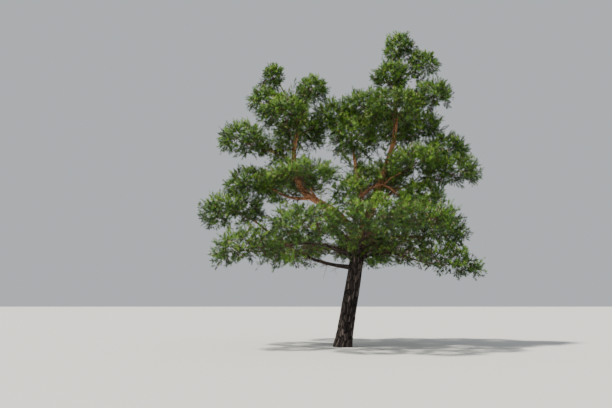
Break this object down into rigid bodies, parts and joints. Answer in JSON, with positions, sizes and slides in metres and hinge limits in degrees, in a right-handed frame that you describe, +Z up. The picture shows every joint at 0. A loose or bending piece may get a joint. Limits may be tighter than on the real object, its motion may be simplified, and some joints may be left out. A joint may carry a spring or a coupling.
{
  "type": "pine tree",
  "caption": "Mature open-grown pine tree with a leaning, forked trunk, arching boughs and rounded pads of green needles",
  "frame": {"origin": "middle of the flat cut through the trunk at ground level", "axes": "+Z up along the height, +X towards the side that the trunk leans to, -Y towards the side that the picture shows"},
  "size_m": [10.601, 9.0404, 11.8779],
  "materials": {
    "plated_bark": "rough",
    "flaky_bark": "rough",
    "needles": "matte"
  },
  "bodies": {
    "root": {"trunk": "plated_bark", "left_leader_foot": "flaky_bark", "left_leader": "flaky_bark", "middle_leader": "flaky_bark", "low_left_bough": "flaky_bark", "low_left_front_bough": "flaky_bark", "low_front_left_bough": "flaky_bark", "low_front_bough": "flaky_bark", "low_front_right_bough": "flaky_bark", "low_right_front_bough": "flaky_bark", "low_right_bough": "flaky_bark", "low_back_right_bough": "flaky_bark", "low_back_bough": "flaky_bark", "low_back_left_bough": "flaky_bark", "mid_left_out_bough": "flaky_bark", "mid_left_front_bough": "flaky_bark", "mid_left_back_bough": "flaky_bark", "mid_right_front_bough": "flaky_bark", "mid_right_bough": "flaky_bark", "mid_right_low_bough": "flaky_bark", "mid_back_bough": "flaky_bark", "left_arm_bough": "flaky_bark", "left_top_right_bough": "flaky_bark", "right_out_bough": "flaky_bark", "right_mid_bough": "flaky_bark", "low_left_foliage": "needles", "low_left_front_foliage": "needles", "low_front_left_foliage": "needles", "low_front_foliage": "needles", "low_front_right_foliage": "needles", "low_right_front_foliage": "needles", "low_right_foliage": "needles", "low_back_right_foliage": "needles", "low_back_foliage": "needles", "low_back_left_foliage": "needles", "mid_left_out_foliage": "needles", "mid_left_front_foliage": "needles", "mid_left_back_foliage": "needles", "mid_front_foliage": "needles", "mid_right_front_foliage": "needles", "mid_right_foliage": "needles", "mid_right_low_foliage": "needles", "mid_back_foliage": "needles", "middle_crown_foliage": "needles", "left_arm_foliage": "needles", "left_front_foliage": "needles", "left_back_foliage": "needles", "left_right_foliage": "needles", "left_top_right_foliage": "needles", "left_shoulder_foliage": "needles", "left_top_foliage": "needles", "right_out_foliage": "needles", "right_low_foliage": "needles", "right_left_foliage": "needles", "right_back_foliage": "needles", "right_front_foliage": "needles", "right_mid_foliage": "needles", "right_arm_foliage": "needles", "right_high_foliage": "needles", "right_top_foliage": "needles"}
  },
  "joints": []
}
